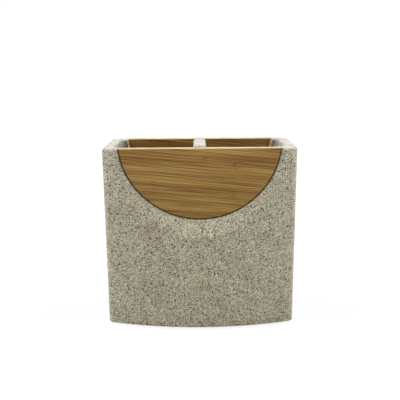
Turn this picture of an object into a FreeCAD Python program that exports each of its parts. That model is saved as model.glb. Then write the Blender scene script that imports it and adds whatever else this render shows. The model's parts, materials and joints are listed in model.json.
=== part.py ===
import FreeCAD, Part
import math
import os

from FreeCAD import Vector

# Toothbrush holder: a thick stone-effect casting with two cells side by side, and a flat half-moon
# bamboo board let into a window in its front and in its back.
# Millimetres. +Z is up, the front faces -Y, and the origin is on the surface that the holder stands on,
# under its middle.

# Outer form of the casting
height = 108.5
rim_width = 115.0
side_depth = 49.6
bow_rise = 10.4
base_lean = 1.1
corner_radius = 5.0
base_ease = 1.0
rim_round = 1.8

# The two cells inside: front_wall is the thickness in front of and behind them, at the casting's corners
side_wall = 7.2
front_wall = 5.6
divider_width = 7.8
divider_lean = 1.4
cell_corner = 5.0
cell_floor = 8.0
floor_ease = 3.0
mouth_round = 1.2

# Half-moon window: the stone left beside it at the rim, how far down it reaches, and the lip behind it
window_margin = 9.55
window_drop = 42.4
lip_width = 1.6
lip_thickness = 2.4
lip_break = 0.8

# Scoop below the window, and the points that its sheet is drawn through
scoop_angle = 52.0
scoop_soft = 2.0
scoop_soft_share = 0.68
scoop_sink = 2.5
scoop_skim = 0.1
scoop_columns = 45
scoop_rows = 31

# Bamboo boards and the glue behind them
panel_thickness = 5.5
panel_proud = 0.4
panel_gap = 0.3
panel_ease = 0.5
glue_thickness = 0.3
glue_margin = 0.15

# Foot pads
foot_stand = 0.8
pad_diameter = 10.0
pad_thickness = 2.0
pad_gap = 0.3
pad_inset = 11.0

# How far a cutting shape runs past what it cuts, and how closely an edge is found at its place
overrun = 2.0
tolerance = 0.002

# Places that follow from the sizes above. Each plane is a distance from the holder's middle plane.
window_reach = rim_width / 2 - window_margin
window_radius = (window_reach ** 2 + window_drop ** 2) / (2 * window_drop)
window_centre = height - window_drop + window_radius
cell_plane = side_depth / 2 - front_wall
seat_plane = cell_plane + lip_thickness
board_plane = seat_plane + glue_thickness + panel_thickness
window_plane = board_plane - panel_proud
bow_plane = side_depth / 2 + bow_rise
bow_radius = ((rim_width / 2) ** 2 + bow_rise ** 2) / (2 * bow_rise)
bow_centre = bow_plane - bow_radius
corner_across = rim_width / 2 - corner_radius
corner_along = bow_centre + math.sqrt((bow_radius - corner_radius) ** 2 - corner_across ** 2)
scoop_slope = math.tan(math.radians(scoop_angle))

front = left = -1
back = right = 1


def lean_at(z):
    """How far each outer face has leaned in at this height: nothing at the rim, base_lean at the base."""
    return base_lean * (height - z) / (height - foot_stand)


def outline(z):
    """Plan of the casting at a height: bowed arcs at front and back, straight sides, rounded corners.

    Leaning in moves every line and arc inwards alike, so each corner and each bow is part of a cone."""
    lean = lean_at(z)
    centre = Vector(corner_across, corner_along, 0)
    across = Vector(1, 0, 0)
    along = Vector(corner_across, corner_along - bow_centre, 0).normalize()
    between = (across + along).normalize()
    corner = [centre + direction * (corner_radius - lean) for direction in (across, between, along)]

    def turned(point, x, y):
        return Vector(x * point.x, y * point.y, z)

    edges = []
    for x in (left, right):
        edges.append(Part.makeLine(turned(corner[0], x, front), turned(corner[0], x, back)))
    for y in (front, back):
        for x in (left, right):
            edges.append(Part.Arc(*[turned(point, x, y) for point in corner]).toShape())
        crown = Vector(0, y * (bow_plane - lean), z)
        edges.append(Part.Arc(turned(corner[2], left, y), crown, turned(corner[2], right, y)).toShape())
    return Part.Wire(Part.sortEdges(edges)[0])


def bow_at(x, z):
    """Distance of the bowed face from the middle plane: an arc across the width, leaning in downwards."""
    return bow_centre + math.sqrt((bow_radius - lean_at(z)) ** 2 - x ** 2)


def slope_at(x, z):
    """Distance of the scoop from the middle plane: a cone that rises outwards from the window's edge.

    Inside the window, where the board sits, the cone levels out."""
    outwards = math.hypot(x, window_centre - z) - window_radius
    if outwards < 0:
        outwards = scoop_sink * math.tanh(outwards / scoop_sink)
    return window_plane + outwards * scoop_slope


def softness(depth):
    """How far apart bow and scoop can be and still be blended, where the scoop is this deep."""
    return scoop_soft + scoop_soft_share * max(depth, 0)


def scoop_at(x, z):
    """Distance of the scooped face from the middle plane: the lower of bow and scoop, blended softly.

    The blend is a parabola. Away from the scoop the sheet skims past the bow, just outside it."""
    bow = bow_at(x, z) + scoop_skim
    slope = slope_at(x, z)
    blend = softness(bow - window_plane)
    overlap = max(blend - abs(bow - slope), 0)
    return min(bow, slope) - overlap ** 2 / (4 * blend)


def spread(low, high, count):
    """Evenly spaced values from low to high."""
    return [low + (high - low) * step / (count - 1) for step in range(count)]


def before_scoop(side):
    """Everything in front of the scooped face: a smooth sheet through it, thickened outwards."""
    depth = bow_plane - window_plane
    reach = depth / scoop_slope + softness(depth) + overrun
    low = height - window_drop - reach
    half_width = rim_width / 2 + overrun
    across = spread(-half_width, half_width, scoop_columns)
    rows = []
    for z in spread(low, height + overrun, scoop_rows):
        rows.append([Vector(x, side * scoop_at(x, z), z) for x in across])
    sheet = Part.BSplineSurface()
    sheet.interpolate(rows)
    return sheet.toShape().extrude(Vector(0, side * bow_plane, 0))


def disc(radius, near, far, side):
    """Round disc about the windows' axis, between two distances from the middle plane on one side."""
    start = Vector(0, side * near, window_centre)
    return Part.makeCylinder(radius, far - near, start, Vector(0, side, 0))


def above(z):
    """Block that holds everything above this height."""
    reach = rim_width + overrun
    return Part.makeBox(reach * 2, reach * 2, window_radius + reach, Vector(-reach, -reach, z))


def middle_of(edge):
    """Point half-way along an edge."""
    return edge.valueAt((edge.FirstParameter + edge.LastParameter) / 2)


def lies_on(edge, shapes):
    """Whether an edge runs along the surface of one of these shapes."""
    middle = Part.Vertex(middle_of(edge))
    return any(shape.distToShape(middle)[0] < tolerance for shape in shapes)


def edges_between(shape, low, high):
    """Edges of a shape that span exactly these two heights: a level loop, or its upright lines."""
    found = []
    for edge in shape.Edges:
        heights = [vertex.Z for vertex in edge.Vertexes] + [middle_of(edge).z]
        if abs(min(heights) - low) < tolerance and abs(max(heights) - high) < tolerance:
            found.append(edge)
    return found


def scooped_block():
    """Solid outer form: leaning outline with an eased base and a rounded rim, scooped at front and back."""
    block = Part.makeLoft([outline(foot_stand), outline(height)], True, True)
    block = block.makeChamfer(base_ease, edges_between(block, foot_stand, foot_stand))
    block = block.makeFillet(rim_round, edges_between(block, height, height))
    for side in (front, back):
        block = block.cut(before_scoop(side))
    return block


def cell(side):
    """Space of one cell, left or right: upright walls, a leaning divider and an eased floor.

    Its outer corners are rounded. Those at the divider are square, so that it runs straight to its ends."""
    floor = foot_stand + cell_floor
    top = height + overrun
    inner = divider_width / 2
    outer = rim_width / 2 - side_wall
    lean = divider_lean / (height - floor)
    corners = [
        Vector(side * (inner + divider_lean), -cell_plane, floor),
        Vector(side * outer, -cell_plane, floor),
        Vector(side * outer, -cell_plane, top),
        Vector(side * (inner - lean * overrun), -cell_plane, top),
    ]
    profile = Part.Face(Part.makePolygon(corners + corners[:1]))
    space = profile.extrude(Vector(0, 2 * cell_plane, 0))
    uprights = edges_between(space, floor, top)
    outer_corners = [edge for edge in uprights if side * edge.CenterOfMass.x > (inner + outer) / 2]
    space = space.makeFillet(cell_corner, outer_corners)
    return space.makeChamfer(floor_ease, edges_between(space, floor, floor))


def window(side):
    """Way through the lip behind a board, with its edge broken on the cell's side."""
    radius = window_radius - lip_width
    start = Vector(0, side * cell_plane, window_centre)
    broken_edge = Part.makeCone(radius + lip_break, radius, lip_break, start, Vector(0, side, 0))
    return disc(radius, cell_plane, seat_plane, side).fuse(broken_edge)


def stone_body():
    """The casting: scooped block, less its rebates, cells, windows and pad pockets.

    The mouth of each cell is rounded before the windows cut through it."""
    body = scooped_block()
    cells = [cell(side) for side in (left, right)]
    for space in cells:
        body = body.cut(space)
    mouths = [edge for edge in edges_between(body, height, height) if lies_on(edge, cells)]
    body = body.makeFillet(mouth_round, mouths)
    for side in (front, back):
        body = body.cut(disc(window_radius, seat_plane, bow_plane, side))
        body = body.cut(window(side))
    for place in pad_places().values():
        body = body.cut(Part.makeCylinder(pad_diameter / 2 + pad_gap, pad_thickness, place))
    return body


def panel(side):
    """Half-moon board: a disc cut level with the rim, with all its edges eased."""
    board = disc(window_radius - panel_gap, board_plane - panel_thickness, board_plane, side)
    board = board.cut(above(height))
    return board.makeChamfer(panel_ease, board.Edges)


def glue_bed(side):
    """Band of adhesive on the rebate, between the lip and the board's inner face."""
    inner_radius = window_radius - lip_width + glue_margin
    outer_radius = window_radius - panel_ease - panel_gap - glue_margin
    band = disc(outer_radius, seat_plane, seat_plane + glue_thickness, side)
    band = band.cut(disc(inner_radius, seat_plane - overrun, seat_plane + overrun, side))
    return band.cut(above(height - glue_margin))


def pad_places():
    """Centre of each foot pad on the standing surface, by name."""
    across = rim_width / 2 - base_lean - pad_inset
    along = side_depth / 2 - base_lean - pad_inset
    return {
        "foot_pad_front_left": Vector(-across, -along, 0),
        "foot_pad_front_right": Vector(across, -along, 0),
        "foot_pad_back_left": Vector(-across, along, 0),
        "foot_pad_back_right": Vector(across, along, 0),
    }


def foot_pad(place):
    """Round pad, die-cut from sheet, that fills its pocket and stands out below the casting."""
    return Part.makeCylinder(pad_diameter / 2, pad_thickness, place)


def build():
    """Every piece of the holder, by node name."""
    pieces = {
        "stone_body": stone_body(),
        "front_panel": panel(front),
        "back_panel": panel(back),
        "front_glue_bed": glue_bed(front),
        "back_glue_bed": glue_bed(back),
    }
    for name, place in pad_places().items():
        pieces[name] = foot_pad(place)
    return pieces


os.makedirs("parts", exist_ok=True)
for name, shape in build().items():
    shape.exportStep(os.path.join("parts", name + ".step"))
    print(name, "solids", len(shape.Solids), "valid", shape.isValid(), "volume", round(shape.Volume, 1))
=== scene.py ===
# %% [markdown]
# A toothbrush holder: a thick casting of stone-effect resin with two cells, and a half-moon board of
# bamboo let into its front and back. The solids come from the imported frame. Here the casting and the
# boards are drawn again as fine surfaces, with a soft scoop below each board, and every piece gets its
# finish.

# %% Open the frame
import json
import math

import bmesh
import bpy
import numpy as np
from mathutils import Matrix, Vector


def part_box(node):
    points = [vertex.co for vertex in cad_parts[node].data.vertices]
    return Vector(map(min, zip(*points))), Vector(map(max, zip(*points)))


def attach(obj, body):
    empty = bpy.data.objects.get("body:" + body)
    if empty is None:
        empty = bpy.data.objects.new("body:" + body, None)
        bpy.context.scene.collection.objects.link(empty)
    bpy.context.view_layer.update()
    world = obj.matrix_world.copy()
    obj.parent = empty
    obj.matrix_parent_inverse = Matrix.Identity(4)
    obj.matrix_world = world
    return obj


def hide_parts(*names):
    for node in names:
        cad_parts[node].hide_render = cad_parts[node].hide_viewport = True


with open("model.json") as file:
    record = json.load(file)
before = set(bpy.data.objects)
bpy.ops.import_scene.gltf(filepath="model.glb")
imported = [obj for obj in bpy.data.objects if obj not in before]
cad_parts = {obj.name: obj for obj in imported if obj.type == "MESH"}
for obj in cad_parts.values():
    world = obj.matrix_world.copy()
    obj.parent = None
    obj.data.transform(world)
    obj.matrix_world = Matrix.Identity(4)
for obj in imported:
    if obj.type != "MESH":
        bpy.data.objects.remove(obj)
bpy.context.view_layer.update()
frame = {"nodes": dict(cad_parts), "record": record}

print("nodes:", sorted(frame["nodes"]))

# %% [markdown]
# Sizes come first. The frame gives the heights and the boards' planes. The rest are the casting's own
# sizes in metres, under the names that a maker would use: rim, bow, scoop, rebate, lip, divider.

# %% Sizes of the casting
mm = 0.001
stone_low, stone_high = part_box("stone_body")
board_low, board_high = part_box("back_panel")
stand = stone_low.z
height = stone_high.z

rim_half = 57.5 * mm
side_half = 24.8 * mm
bow_rise = 10.4 * mm
base_lean = 1.1 * mm
corner_radius = 5.0 * mm
base_round = 1.0 * mm
rim_round = 1.8 * mm

bow_plane = side_half + bow_rise
bow_radius = (rim_half ** 2 + bow_rise ** 2) / (2 * bow_rise)
bow_centre = bow_plane - bow_radius
corner_across = rim_half - corner_radius
corner_along = bow_centre + math.sqrt((bow_radius - corner_radius) ** 2 - corner_across ** 2)
print("bow radius, mm:", round(bow_radius / mm, 1))

# %% Sizes of the window and the scoop
window_reach = 47.95 * mm
window_drop = 42.4 * mm
board_proud = 0.4 * mm
scoop_angle = math.radians(52.0)
scoop_soft = 2.0 * mm
scoop_soft_share = 0.68
lip_width = 1.6 * mm
lip_break = 0.8 * mm
seat_plane = 21.6 * mm

window_radius = (window_reach ** 2 + window_drop ** 2) / (2 * window_drop)
window_centre = height - window_drop + window_radius
window_plane = board_high.y - board_proud
scoop_slope = math.tan(scoop_angle)
lip_radius = window_radius - lip_width
print("window radius, mm:", round(window_radius / mm, 2))

# %% Sizes of the cells
cell_plane = 19.2 * mm
cell_half = rim_half - 7.2 * mm
cell_floor = stand + 8.0 * mm
floor_ease = 3.0 * mm
mouth_round = 1.2 * mm
divider_half = 3.9 * mm
divider_lean = 1.4 * mm
print("cell depth, mm:", round((height - cell_floor) / mm, 1))

# %% [markdown]
# A mesh from a formula is a table of points, row by row, that a helper turns into four-sided faces. Several
# such patches make the casting. Where two of them meet they share the same points, so merging points that
# coincide sews them into one closed skin.

# %% Patches of points
def spread(*ends, steps):
    """Values from each end to the next, evenly spaced, with each shared end given once."""
    parts = [np.linspace(low, high, count + 1)[:-1] for low, high, count in zip(ends, ends[1:], steps)]
    return np.concatenate(parts + [[ends[-1]]])


def patch(x, y, z):
    """Points of a grid, from coordinates that are spread out to the same rows and columns."""
    return np.stack(np.broadcast_arrays(x, y, z), axis=-1)


def mirrored(points, axis):
    """The same grid on the other side of the holder's middle."""
    turned = points.copy()
    turned[..., axis] *= -1
    return turned


def quads(points, first):
    """Corner numbers of a grid's faces: each point with its right, upper right and upper neighbours."""
    rows, columns = points.shape[:2]
    numbers = first + np.arange(rows * columns).reshape(rows, columns)
    corners = (numbers[:-1, :-1], numbers[:-1, 1:], numbers[1:, 1:], numbers[1:, :-1])
    return np.stack(corners, axis=-1).reshape(-1, 4)


print("faces of a grid of 3 by 4 points:", len(quads(np.zeros((3, 4, 3)), 0)))

# %% Sewing patches into a piece
merge_distance = 0.002 * mm
sharp_angle = math.radians(35)


def sewn(name, patches):
    """Mesh and bmesh of several grids with their shared points merged."""
    firsts = np.cumsum([0] + [grid.shape[0] * grid.shape[1] for grid in patches])
    points = np.concatenate([grid.reshape(-1, 3) for grid in patches])
    faces = np.concatenate([quads(grid, first) for grid, first in zip(patches, firsts)])
    mesh = bpy.data.meshes.new(name)
    mesh.from_pydata(points.tolist(), [], faces.tolist())
    skin = bmesh.new()
    skin.from_mesh(mesh)
    bmesh.ops.remove_doubles(skin, verts=skin.verts, dist=merge_distance)
    bmesh.ops.dissolve_degenerate(skin, edges=skin.edges, dist=merge_distance)
    return mesh, skin


def open_edges(skin):
    """Edges that have a face on one side only."""
    return [edge for edge in skin.edges if edge.is_boundary]


def finished(mesh, skin):
    """Object from a closed skin: faces turned outwards, smooth, with edges sharp past an angle."""
    left_open = len(open_edges(skin))
    bmesh.ops.recalc_face_normals(skin, faces=skin.faces)
    skin.to_mesh(mesh)
    skin.free()
    mesh.shade_smooth()
    mesh.set_sharp_from_angle(angle=sharp_angle)
    piece = bpy.data.objects.new(mesh.name, mesh)
    bpy.context.scene.collection.objects.link(piece)
    print(piece.name, len(mesh.polygons), "faces,", left_open, "open edges")
    return piece


print("points merge within, mm:", merge_distance / mm)

# %% [markdown]
# The casting's face is a bow, an arc across the width that leans in a little towards the base. Below the
# board it is scooped: a cone rises outwards from the window's edge until it meets the bow. Taking the lower
# of two surfaces leaves a crease, so the two are blended by a parabola where they come close, which is the
# soft crescent that catches the light.

# %% Face of the casting
def lean_at(z):
    """How far the outer face has leaned in: nothing at the rim, base_lean at the base."""
    return base_lean * (height - z) / (height - stand)


def bow_at(x, z, inset=0):
    """Distance of the bow from the middle plane: an arc whose radius shrinks by lean and inset."""
    return bow_centre + np.sqrt((bow_radius - lean_at(z) - inset) ** 2 - x ** 2)


def face_at(x, z, inset=0):
    """Distance of the face from the middle plane: the soft minimum of the bow and the scoop's cone."""
    bow = bow_at(x, z, inset)
    cone = window_plane + scoop_slope * (np.hypot(x, window_centre - z) - window_radius)
    blend = scoop_soft + scoop_soft_share * np.maximum(bow - window_plane, 0)
    overlap = np.maximum(blend - np.abs(bow - cone), 0)
    return np.minimum(bow, cone) - overlap ** 2 / (4 * blend)


def quarter(count):
    """Sine and one minus cosine of a quarter turn, as columns: the two legs of a rounded edge."""
    angle = np.linspace(0, math.pi / 2, count + 1)[:, None]
    return np.sin(angle), 1 - np.cos(angle)


edge_sin, edge_cos = quarter(5)
print("scoop depth, mm:", round((bow_plane - window_plane) / mm, 1))

# %% [markdown]
# The half-moon window is part of a circle whose centre lies above the rim. A column of points is placed by
# its share of the way round that arc, from -1 at the left end to 1 at the right. The columns run from the
# base edge up to the arc, so the grid follows the window's edge exactly. Two columns stand where the divider
# will meet the lip, so that it can be sewn on there.

# %% Columns round the window
def on_arc(radius, top, share):
    """X and Z on a circle about the window's centre, at a share of its arc below a height."""
    angle = share * np.arccos((window_centre - top) / radius)
    return radius * np.sin(angle), window_centre - radius * np.cos(angle)


beside_steps, divider_steps = 56, 10
lean_share_at_lip = 0.41

lip_end = height - mouth_round
inner_radius = lip_radius + lip_break
divider_turn = math.asin((divider_half + lean_share_at_lip * divider_lean) / inner_radius)
divider_share = divider_turn / math.acos((window_centre - lip_end) / inner_radius)
column_steps = (beside_steps, divider_steps, beside_steps)
arc_share = spread(-1, -divider_share, divider_share, 1, steps=column_steps)[None, :]
print("columns:", arc_share.size)

# %% Front of the casting, below the window
wall_steps = 72
arc_x, arc_z = on_arc(window_radius, height - rim_round, arc_share)
foot_x = arc_x[0, -1] * arc_share
base_z = stand + base_round * edge_cos
base_inset = base_round * (1 - edge_sin)
front_base = patch(foot_x, -face_at(foot_x, base_z, base_inset), base_z)

up = np.linspace(0, 1, wall_steps + 1)[:, None]
wall_x = foot_x + (arc_x - foot_x) * up
wall_z = base_z[-1] + (arc_z - base_z[-1]) * up
front_wall = patch(wall_x, -face_at(wall_x, wall_z), wall_z)
print("front wall:", front_wall.shape[:2], "points")

# %% [markdown]
# Behind the window's edge the casting is rebated: a step takes the board, and a narrow lip behind it keeps
# the board from falling into the cell. The profile of that step is carried round the arc. Its ends follow
# the rounded rim and the rounded mouth of the cell.

# %% Rebate round the window
rim_z = height - rim_round + rim_round * edge_sin
rim_inset = rim_round * edge_cos
end_x, _ = on_arc(window_radius, rim_z, 1)
end_y = face_at(end_x, rim_z, rim_inset)
mouth_y = cell_plane + mouth_round * (1 - edge_sin)
mouth_z = height - mouth_round * edge_cos

step_y = np.concatenate([end_y, [[seat_plane], [seat_plane]], mouth_y])
step_z = np.concatenate([rim_z, [[height], [height]], mouth_z])
broken = np.maximum(cell_plane + lip_break - mouth_y, 0)
step_radius = np.concatenate([
    0 * end_y + window_radius, [[window_radius], [lip_radius]], lip_radius + broken])
step_x, step_height = on_arc(step_radius, step_z, arc_share)
edge_y = face_at(arc_x, arc_z)
stretch = np.where(step_y > seat_plane, (edge_y - seat_plane) / (end_y[0] - seat_plane), 1)
front_step = patch(step_x, -(seat_plane + (step_y - seat_plane) * stretch), step_height)
print("rebate:", front_step.shape[:2], "points")

# %% [markdown]
# The sides of the casting run from the end of the front window round to the end of the back one: a stretch
# of bow, a rounded corner, the flat side, and the same again. Leaning in, or rounding an edge, moves every
# part of that outline inwards alike, so one function of height and inset gives the whole side.

# %% Sides of the casting
corner_steps, side_steps = 12, 24
corner_turn_start = math.atan2(corner_along - bow_centre, corner_across)
bow_share = np.linspace(0, 1, corner_steps + 1)[None, :]
corner_turn = np.linspace(corner_turn_start, 0, corner_steps + 1)[None, 1:]
side_share = np.linspace(-1, 1, side_steps + 1)[None, 1:-1]


def side_outline(z, inset):
    """Right half of the outline at some heights: bow, corner and side, moved in by lean and inset."""
    inwards = lean_at(z) + inset
    start, _ = on_arc(window_radius, np.maximum(z, height - rim_round), 1)
    tangent = corner_across + math.cos(corner_turn_start) * (corner_radius - inwards)
    bow_x = start + (tangent - start) * bow_share
    bow_y = -face_at(bow_x, z, inset)
    corner_x = corner_across + (corner_radius - inwards) * np.cos(corner_turn)
    corner_y = -corner_along - (corner_radius - inwards) * np.sin(corner_turn)
    flat_x = rim_half - inwards + 0 * side_share
    flat_y = corner_along * side_share + 0 * z
    x = np.concatenate([bow_x, corner_x, flat_x, corner_x[:, ::-1], bow_x[:, ::-1]], axis=1)
    y = np.concatenate([bow_y, corner_y, flat_y, -corner_y[:, ::-1], -bow_y[:, ::-1]], axis=1)
    return patch(x, y, z)


side_z = base_z[-1] + (height - rim_round - base_z[-1]) * up
side_base = side_outline(base_z, base_inset)
side_wall = side_outline(side_z, 0 * side_z)
side_rim = side_outline(rim_z, rim_inset)
print("side wall:", side_wall.shape[:2], "points")

# %% [markdown]
# Each cell is an upright pocket. Its wall starts at the divider, follows the lip of the front window, goes
# round the outer corners and comes back along the lip of the back window. The divider's own side closes it.
# Flat areas, such as the rim's top, the cell's floor and the divider's ends, are left as holes in the skin
# and filled with one flat face each.

# %% Path of a cell's wall
cell_turn_steps, cell_side_steps = 10, 20
rounding = 1e-9
beside = arc_share[0] >= divider_share - rounding
beside_x, beside_z = front_step[-1, beside, 0], front_step[-1, beside, 2]
beside_y = cell_plane + 0 * beside_x
window_end = beside_x[-1]
cell_corner = cell_half - window_end
turn = np.linspace(math.pi / 2, 0, cell_turn_steps + 1)[1:]
turn_x = window_end + cell_corner * np.cos(turn)
turn_y = cell_plane - cell_corner + cell_corner * np.sin(turn)
along = np.linspace(-1, 1, cell_side_steps + 1)[1:-1] * (cell_plane - cell_corner)

path_x = np.concatenate([beside_x, turn_x, cell_half + 0 * along, turn_x[::-1], beside_x[::-1]])[None, :]
path_y = np.concatenate([-beside_y, -turn_y, along, turn_y[::-1], beside_y])[None, :]
round_mouth = len(turn_x) * 2 + len(along)
path_top = np.concatenate([beside_z, np.full(round_mouth, lip_end), beside_z[::-1]])[None, :]
print("corner of a cell, mm:", round(cell_corner / mm, 2))

# %% Wall and floor edge of a cell
cell_steps = 32
divider_x, divider_z = path_x[0, 0], path_top[0, 0]
floor_top = cell_floor + floor_ease
divider_foot = divider_half + divider_lean * (height - floor_top) / (height - cell_floor)
even = np.linspace(0, 1, beside.sum())
even_share = np.concatenate([even, np.ones(round_mouth), even[::-1]])[None, :]
even_x = divider_foot + (window_end - divider_foot) * even_share
path_foot = np.where(even_share < 1, even_x, path_x)

down = np.linspace(0, 1, cell_steps + 1)[:, None]
cell_x = path_x + (path_foot - path_x) * down
cell_z = path_top + (floor_top - path_top) * down
cell_wall = patch(cell_x, path_y, cell_z)
eased_plane = cell_plane - floor_ease
eased_x = np.clip(path_foot, divider_foot + floor_ease, cell_half - floor_ease)
eased_y = np.clip(path_y, -eased_plane, eased_plane)
cell_ease = np.stack([cell_wall[-1], patch(eased_x, eased_y, cell_floor)[0]])
print("cell wall:", cell_wall.shape[:2], "points")

# %% Mouth of a cell
outward_x = np.concatenate([[0], np.cos(turn), 1 + 0 * along, np.cos(turn)[::-1], [0]])[None, :]
outward_y = np.concatenate([[-1], -np.sin(turn), 0 * along, np.sin(turn)[::-1], [1]])[None, :]
mouth_out = mouth_round * (1 - edge_sin)
ring = slice(beside.sum() - 1, beside.sum() + round_mouth + 1)
mouth = patch(path_x[:, ring] + mouth_out * outward_x, path_y[:, ring] + mouth_out * outward_y, mouth_z)
mouth[:, 0] = front_step[-len(mouth_z):, -1]
mouth[:, -1] = mirrored(front_step, 1)[-len(mouth_z):, -1]
print("mouth:", mouth.shape[:2], "points")

# %% Side and top of the divider
divider_columns, upper_steps, top_rows = 21, 24, 5
divider_y = np.linspace(-cell_plane, cell_plane, divider_columns)[None, :]
lower_z = cell_wall[:, 0, 2][::-1, None]
upper_z = np.linspace(divider_z, lip_end, upper_steps + 1)[1:, None]
leaning_z = np.concatenate([lower_z, upper_z])
leaning_x = divider_x + (divider_foot - divider_x) * (divider_z - leaning_z) / (divider_z - floor_top)
round_x = leaning_x[-1] - mouth_round * (1 - edge_sin[::-1][1:])
divider_side = patch(
    np.concatenate([leaning_x, round_x]), divider_y, np.concatenate([leaning_z, mouth_z[::-1][1:]]))

divider_ease = np.stack([divider_side[0], divider_side[0]])
divider_ease[1, :, 0] += floor_ease
divider_ease[1, :, 1] = np.clip(divider_ease[1, :, 1], -eased_plane, eased_plane)
divider_ease[1, :, 2] = cell_floor
top_x = divider_side[-1, 0, 0] * np.linspace(-1, 1, top_rows)[:, None]
divider_top = patch(top_x, divider_y, height)
print("divider side:", divider_side.shape[:2], "points")

# %% [markdown]
# Four round pockets in the underside take the foot pads. The underside has holes in it, so it is filled
# with triangles. The other openings that are left are flat loops, and each gets one face.

# %% Sew the casting
pad_gap = 0.3 * mm
pocket_columns = 49
level_within = 0.01 * mm


def pocket(pad):
    """Round wall of a pad's pocket: a ring of points, carried up from the underside to the pad's top."""
    low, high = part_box(pad)
    middle = (low + high) / 2
    radius = (high.x - low.x) / 2 + pad_gap
    angle = np.linspace(0, 2 * math.pi, pocket_columns)[None, :]
    rows = np.array([[stand], [high.z]])
    return patch(middle.x + radius * np.cos(angle), middle.y + radius * np.sin(angle), rows)


pads = [node for node in frame["nodes"] if node.startswith("foot_pad")]
fronts = [front_base, front_wall, front_step]
halves = [side_base, side_wall, side_rim, mouth, cell_wall, cell_ease, divider_side, divider_ease]
patches = fronts + [mirrored(grid, 1) for grid in fronts] + [divider_top]
patches += halves + [mirrored(grid, 0) for grid in halves] + [pocket(pad) for pad in pads]
stone_mesh, skin = sewn("stone_casting", patches)

underside = [edge for edge in open_edges(skin)
             if max(vert.co.z for vert in edge.verts) < stand + level_within]
bmesh.ops.triangle_fill(skin, use_beauty=True, edges=underside)
bmesh.ops.holes_fill(skin, edges=open_edges(skin), sides=0)
casting = finished(stone_mesh, skin)
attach(casting, "root")
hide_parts("stone_body")

# %% [markdown]
# Each board is a flat half-moon of glued-up bamboo, cut level with the rim and sanded along its edges. Its
# outline, an arc and the straight top edge, is carried over the eased edges from the outer face to the inner
# one. The two flat faces are then filled.

# %% Bamboo boards
board_radius = window_radius - 0.3 * mm
board_ease = 0.5 * mm
ease_steps, arc_columns, chord_columns = 4, 129, 65


def board(name, side):
    """Half-moon board: loops of arc and chord, each moved in where the edge is rounded over."""
    ease_sin, ease_cos = quarter(ease_steps)
    inset = board_ease * (1 - ease_sin)
    inset = np.concatenate([inset, inset[::-1]])
    outer = board_high.y - board_ease * ease_cos
    inner = board_low.y + board_ease * ease_cos
    round_share = np.linspace(-1, 1, arc_columns)[None, :]
    round_x, round_z = on_arc(board_radius - inset, height - inset, round_share)
    chord_x = round_x[:, -1:] * np.linspace(1, -1, chord_columns)[None, 1:]
    x = np.concatenate([round_x, chord_x], axis=1)
    z = np.concatenate([round_z, height - inset + 0 * chord_x], axis=1)
    mesh, skin = sewn(name, [patch(x, side * np.concatenate([outer, inner[::-1]]), z)])
    bmesh.ops.holes_fill(skin, edges=open_edges(skin), sides=0)
    return finished(mesh, skin)


front_board = board("front_bamboo_board", -1)
back_board = board("back_bamboo_board", 1)
for piece, node in ((front_board, "front_panel"), (back_board, "back_panel")):
    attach(piece, "root")
    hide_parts(node)

# %% [markdown]
# Materials are built from nodes. A small class wraps a socket, so that shader maths reads like arithmetic:
# each operator adds a Math node. Any other node comes from one method, which takes the node's type, its
# settings and what goes into its sockets.

# %% Shader maths
class Shade:
    """A socket of a material, with arithmetic."""

    def __init__(self, tree, socket=None):
        self.tree = tree
        self.socket = socket

    def node(self, kind, settings, sockets, output=0):
        """Adds a node, sets its settings, then gives each socket a value or a link; wraps an output."""
        made = self.tree.nodes.new(kind)
        for name, value in settings.items():
            if name == "stops":
                self.set_stops(made.color_ramp.elements, value)
            else:
                setattr(made, name, value)
        for name, value in sockets.items():
            if isinstance(value, Shade):
                self.tree.links.new(value.socket, made.inputs[name])
            else:
                made.inputs[name].default_value = value
        return Shade(self.tree, made.outputs[output])

    @staticmethod
    def set_stops(elements, stops):
        """A ramp's stops: the first and the last are there already, the others are added between."""
        elements[0].position, elements[-1].position = stops[0][0], stops[-1][0]
        middle = [elements.new(place) for place, _ in stops[1:-1]]
        for element, (_, colour) in zip([elements[0], *middle, elements[-1]], stops):
            element.color = colour

    def maths(self, operation, *values):
        """Math node on some values."""
        return self.node("ShaderNodeMath", {"operation": operation}, dict(enumerate(values)))

    def __add__(self, other):
        return self.maths("ADD", self, other)

    def __sub__(self, other):
        return self.maths("SUBTRACT", self, other)

    def __rsub__(self, other):
        return self.maths("SUBTRACT", other, self)

    def __mul__(self, other):
        return self.maths("MULTIPLY", self, other)

    def __abs__(self):
        return self.maths("ABSOLUTE", self)

    __radd__ = __add__
    __rmul__ = __mul__

    def or_more(self, other):
        """The larger of two values."""
        return self.maths("MAXIMUM", self, other)

    def step(self, low, high):
        """0 below low, 1 above high, and a smooth rise between. With low above high it falls."""
        settings = {"interpolation_type": "SMOOTHSTEP"}
        return self.node("ShaderNodeMapRange", settings, {"Value": self, "From Min": low, "From Max": high})

    def between(self, colour, other):
        """Colour where this value is 0, other where it is 1."""
        return self.node("ShaderNodeMix", {"data_type": "RGBA"}, {0: self, 6: colour, 7: other}, 2)

    def ramp(self, *stops):
        """Colour on a ramp, from stops of place and colour."""
        return self.node("ShaderNodeValToRGB", {"stops": stops}, {"Fac": self})

    def into(self, socket):
        """Feeds this value into a socket of a shader."""
        self.tree.links.new(self.socket, socket)


# %% Materials, colours and relief
def new_material(name):
    """Material with its shader, and the point on the surface, in millimetres."""
    material = bpy.data.materials.new(name)
    material.use_nodes = True
    tree = material.node_tree
    point = Shade(tree).node("ShaderNodeTexCoord", {}, {}, "Object")
    point = point.node("ShaderNodeVectorMath", {"operation": "SCALE"}, {0: point, "Scale": 1 / mm})
    return material, tree.nodes["Principled BSDF"], point


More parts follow.
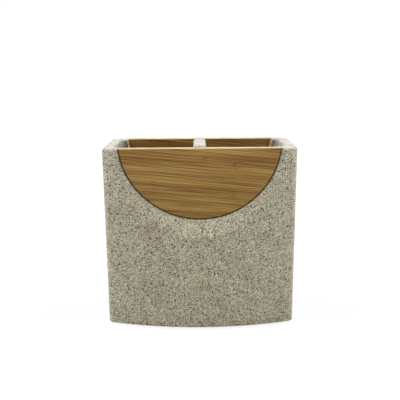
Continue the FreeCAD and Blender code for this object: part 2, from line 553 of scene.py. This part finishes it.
def rgb(red, green, blue):
    """Colour as written in an image editor, 0 to 255, turned into the linear light that nodes use."""
    shares = np.array([red, green, blue]) / 255
    linear = np.where(shares > 0.04045, ((shares + 0.055) / 1.055) ** 2.4, shares / 12.92)
    return (*linear.tolist(), 1)


def rough_relief(value, strength, depth, shader):
    """Bump from a value, with its strength and its depth in metres, into the shader's normal."""
    sockets = {"Strength": strength, "Distance": depth, "Height": value}
    value.node("ShaderNodeBump", {}, sockets, "Normal").into(shader.inputs["Normal"])


def upright(point):
    """Height of a point: the Z of a vector."""
    return point.node("ShaderNodeSeparateXYZ", {}, {0: point}, "Z")


print("linear value of mid grey:", round(rgb(128, 128, 128)[0], 3))

# %% [markdown]
# The casting is resin filled with sand. Seen close up it is a mosaic of grains, each of its own tone, with a
# few dark grains and pale flecks among them. Voronoi cells are a good stand-in for grains: each cell has a
# random colour, and the distance to its centre gives a round speck. Soft clouds stain the sand a little. The
# top of the casting is painted a trace paler and cooler, a painted highlight for the strong light on the
# rim.

# %% Grains and clouds
mean = 0.5


def grains(point, size, output="Color"):
    """Cells about as large as size, in millimetres: a random value or the distance to the centre."""
    return point.node("ShaderNodeTexVoronoi", {}, {"Vector": point, "Scale": 1 / size}, output)


def chance(cell):
    """Random value of a cell, from its random colour."""
    return cell.node("ShaderNodeSeparateColor", {}, {0: cell}, "Red")


def cloud(point, size, detail=2.0):
    """Soft noise about its mean, with features about as large as size, in millimetres."""
    sockets = {"Vector": point, "Scale": 1 / size, "Detail": detail}
    return point.node("ShaderNodeTexNoise", {}, sockets, "Fac")


def specks(point, spacing, radius, share, core_share=0.6, step_width=0.02):
    """1 in small round specks: one in each cell, at a share of the cells."""
    near = grains(point, spacing, "Distance") * spacing
    wanted = chance(grains(point, spacing)).step(1 - share, 1 - share + step_width)
    return near.step(radius, radius * core_share) * wanted


print("grains and noise lie about", mean)

# %% Sandy stone
stone, stone_shader, point = new_material("sandy_stone")
coarse = chance(grains(point, size=0.4))
fine = chance(grains(point, size=0.3))
drift = cloud(point, size=9.0)
tone = 0.51 + 0.85 * (coarse - mean) + 0.5 * (fine - mean) + 0.2 * (drift - mean)
colour = tone.ramp((0.0, rgb(54, 47, 31)), (1.0, rgb(206, 194, 162)))

rim_highlight_from, rim_highlight_to = height / mm - 2.2, height / mm - 0.4
stained = cloud(point, size=17.0).step(0.48, 0.72)
# Painted highlight: the top 2 mm of the casting are painted paler and cooler, for the strong light on the
# rim.
rim_highlight = upright(point).step(rim_highlight_from, rim_highlight_to)
dark = specks(point, spacing=1.8, radius=0.56, share=0.5)
brown = specks(point, spacing=1.5, radius=0.4, share=0.4)
pale = specks(point, spacing=1.6, radius=0.42, share=0.35)
layers = (
    (stained, 0.22, rgb(122, 100, 66)),
    # Painted highlight on the casting's top, paler and cooler.
    (rim_highlight, 0.22, rgb(175, 176, 183)),
    (brown, 0.6, rgb(96, 84, 62)),
    (pale, 0.6, rgb(212, 208, 194)),
    (dark, 0.95, rgb(32, 29, 26)),
)
for mask, strength, tint in layers:
    colour = (mask * strength).between(colour, tint)

colour.into(stone_shader.inputs["Base Color"])
(0.78 + 0.16 * fine).into(stone_shader.inputs["Roughness"])
stone_shader.inputs["Specular IOR Level"].default_value = 0.3
pitted = 0.5 * coarse + 0.3 * fine + 0.6 * cloud(point, size=0.6) - 0.4 * dark
rough_relief(pitted, 0.25, 0.1 * mm, stone_shader)
casting.data.materials.append(stone)
print("stone nodes:", len(stone.node_tree.nodes))

# %% [markdown]
# Bamboo boards are glued up from strips. The grain of these runs almost level and dips a little to the
# right. Fibres are noise that is stretched along the grain. A step across the strips gives each its own
# tone, with a thin dark glue line between neighbours, and short broken streaks mark the nodes of the cane.
# A dark band on the round edge is a painted shadow of the gap to the stone; the top edge is sanded pale.

# %% Grain of the bamboo
bamboo, bamboo_shader, point = new_material("laminated_bamboo")
dip = math.radians(5.7)
turned = point.node("ShaderNodeMapping", {}, {"Vector": point, "Rotation": (0, -dip, 0)})
grain = upright(turned)
flat_point = point.node("ShaderNodeVectorMath", {"operation": "MULTIPLY"}, {0: point, 1: (1, 0, 1)})


def fibres(across, along, detail=2.0):
    """Streaks along the grain: noise with its width and its length in millimetres."""
    scale = (1 / along, 1 / along, 1 / across)
    stretched = turned.node("ShaderNodeMapping", {}, {"Vector": turned, "Scale": scale})
    return cloud(stretched, 1.0, detail)


def away_from(x, z):
    """Distance of a point on the board from a place on it, in millimetres."""
    sockets = {0: flat_point, 1: (x, 0, z)}
    return flat_point.node("ShaderNodeVectorMath", {"operation": "DISTANCE"}, sockets, "Value")


def glue_line(seam):
    """1 along a seam between two strips, 0 away from it."""
    return abs(grain - seam).step(0.45, 0.1)


def cane_node(x, z):
    """1 at a node of the cane, falling to 0 a few millimetres away."""
    return away_from(x, z).step(4.5, 0.5)


print("grain dips by, degrees:", round(math.degrees(dip), 1))

# %% Strips, streaks and nodes of the bamboo
upper_seam, lower_seam, seam_half = 106.2, 84.6, 0.2
broad = fibres(across=4.0, along=90.0)
thin = fibres(across=0.4, along=40.0, detail=4.0)
streak = fibres(across=0.42, along=30.0).step(0.58, 0.7)
feathers = fibres(across=0.5, along=3.0, detail=3.0).step(0.5, 0.62)
wedge = grain.step(upper_seam - 0.3, upper_seam + 0.3)
above_seam = grain.step(lower_seam - seam_half, lower_seam + seam_half)
band = grain.step(lower_seam + 7.0, lower_seam + 1.5) * above_seam
lowest = grain.step(lower_seam + seam_half, lower_seam - seam_half)
seams = glue_line(upper_seam).or_more(glue_line(lower_seam))
cane_nodes = cane_node(21.0, 98.0) + cane_node(19.0, 81.5) + cane_node(3.0, 101.5)
cane_nodes = cane_nodes + 0.6 * cane_node(-27.0, 87.0)

tone = 0.53 + 0.8 * (broad - mean) + 2.2 * (thin - mean) + 0.1 * wedge + 0.12 * band + 0.06 * lowest
tone = tone - 0.25 * streak - 0.2 * seams - 0.4 * cane_nodes * feathers
colour = tone.ramp(
    (0.0, rgb(80, 45, 15)), (0.35, rgb(124, 86, 34)), (0.6, rgb(145, 108, 49)), (1.0, rgb(175, 142, 75)))
print("seams at, mm:", upper_seam, lower_seam)

# %% Edges and finish of the bamboo
round_edge, top_edge = board_radius / mm, height / mm
# Painted shadow: a dark band along the board's round edge, for the shade in the gap between board and stone.
painted_gap_shadow = away_from(0, window_centre / mm).step(round_edge - 0.65, round_edge - 0.3)
sanded = upright(point).step(top_edge - 0.5, top_edge - 0.2)
# Painted shadow along the round edge.
colour = (painted_gap_shadow * 0.85).between(colour, rgb(58, 37, 18))
colour = (sanded * 0.6).between(colour, rgb(184, 165, 133))
colour.into(bamboo_shader.inputs["Base Color"])
(0.5 + 0.2 * thin).into(bamboo_shader.inputs["Roughness"])
bamboo_shader.inputs["Specular IOR Level"].default_value = 0.2
rough_relief(thin, 0.2, 0.08 * mm, bamboo_shader)
for piece in (front_board, back_board):
    piece.data.materials.append(bamboo)
print("bamboo nodes:", len(bamboo.node_tree.nodes))

# %% [markdown]
# The pads and the glue keep their CAD shapes and only get a finish: matte rubber with a fine moulded grain,
# and cured adhesive, a little uneven in colour.

# %% Rubber and glue
def simple_finish(name, slot, dark, light, size, roughness):
    """Material with a tone that varies softly between two colours, on the nodes of one slot."""
    material, shader, point = new_material(name)
    spots = cloud(point, size)
    spots.step(0.3, 0.7).between(dark, light).into(shader.inputs["Base Color"])
    (roughness + 0.15 * spots).into(shader.inputs["Roughness"])
    rough_relief(spots, 0.2, 0.05 * mm, shader)
    nodes = [row["node"] for row in frame["record"]["subparts"] if row["material_slot"] == slot]
    for node in nodes:
        mesh = frame["nodes"][node].data
        mesh.materials.clear()
        mesh.materials.append(material)
    print(name, "on", nodes)


simple_finish("matte_rubber", "pad", rgb(40, 40, 41), rgb(58, 58, 58), size=0.4, roughness=0.7)
simple_finish("cured_glue", "glue", rgb(196, 186, 158), rgb(214, 206, 182), size=2.0, roughness=0.4)

# %% [markdown]
# The floor is a plain pale sheet. A camera ray sees it almost white, so the background is white, while the
# light that it throws back on the object is that of a grey sheet, and it keeps a soft shadow where the
# holder stands.

# %% Floor
def camera_share(tree):
    """1 for rays that come from the camera, or that see the scene in gloss or through glass."""
    names = ("Is Camera Ray", "Is Glossy Ray", "Is Transmission Ray")
    rays = [Shade(tree).node("ShaderNodeLightPath", {}, {}, name) for name in names]
    return rays[0].or_more(rays[1]).or_more(rays[2])


floor_edge = np.array([-3.0, 3.0])
floor_drop = 0.1 * mm
floor_points = patch(floor_edge[None, :], floor_edge[:, None], -floor_drop)
floor_mesh = bpy.data.meshes.new("studio_floor")
floor_mesh.from_pydata(floor_points.reshape(-1, 3).tolist(), [], quads(floor_points, 0).tolist())
studio_floor = bpy.data.objects.new("studio_floor", floor_mesh)
bpy.context.scene.collection.objects.link(studio_floor)

glow_share = 0.85
paper, paper_shader, _ = new_material("white_paper")
paper_shader.inputs["Base Color"].default_value = (0.68, 0.68, 0.68, 1)
paper_shader.inputs["Roughness"].default_value = 0.9
sheet = Shade(paper.node_tree, paper_shader.outputs[0])
glow = sheet.node("ShaderNodeEmission", {}, {"Color": (1, 1, 1, 1), "Strength": 1.0})
seen = glow_share * camera_share(paper.node_tree)
mixed = sheet.node("ShaderNodeMixShader", {}, {0: seen, 1: sheet, 2: glow})
mixed.into(paper.node_tree.nodes["Material Output"].inputs["Surface"])
floor_mesh.materials.append(paper)
print("floor, m:", floor_edge[1] - floor_edge[0])

# %% Background
ambient = 0.2
world = bpy.data.worlds.new("studio")
world.use_nodes = True
bpy.context.scene.world = world
sky = world.node_tree.nodes["Background"]
sky.inputs["Color"].default_value = (1, 1, 1, 1)
(ambient + (1 - ambient) * camera_share(world.node_tree)).into(sky.inputs["Strength"])
print("ambient light:", ambient)

# %% [markdown]
# Two wide softboxes shine from above, left and right, so that the rim, the divider and the crescent under
# the board are bright and the upright faces stay quiet. The camera stands where the photograph was taken:
# just above the rim, looking down a little.

# %% Softboxes
def softbox(name, direction):
    """Soft lamp far away, shining from a direction towards the holder."""
    light = bpy.data.lights.new(name, "SUN")
    light.energy = 4.2
    light.angle = math.radians(36)
    light.color = (0.93, 1.0, 1.13)
    lamp = bpy.data.objects.new(name, light)
    lamp.rotation_euler = Vector(direction).to_track_quat("Z", "Y").to_euler()
    bpy.context.scene.collection.objects.link(lamp)
    print(name, "shines from", direction)


softbox("softbox_left", (-0.75, 0.05, 0.95))
softbox("softbox_right", (0.75, 0.05, 0.95))

# %% Camera
lens = bpy.data.cameras.new("photo_view")
lens.sensor_width = 36.0
lens.lens = 61.33
lens.clip_start = 0.01
camera = bpy.data.objects.new("photo_view", lens)
look_down = math.radians(11.75)
roll = math.radians(-0.42)
camera.rotation_mode = "XYZ"
camera.rotation_euler = (math.pi / 2 - look_down, 0, 0)
camera.rotation_euler.rotate_axis("Z", roll)
camera.location = (0, -420.1 * mm, 159.6 * mm)
bpy.context.scene.collection.objects.link(camera)
bpy.context.scene.camera = camera
bpy.context.scene.view_settings.view_transform = "Standard"
print("camera:", [round(value, 4) for value in camera.location])
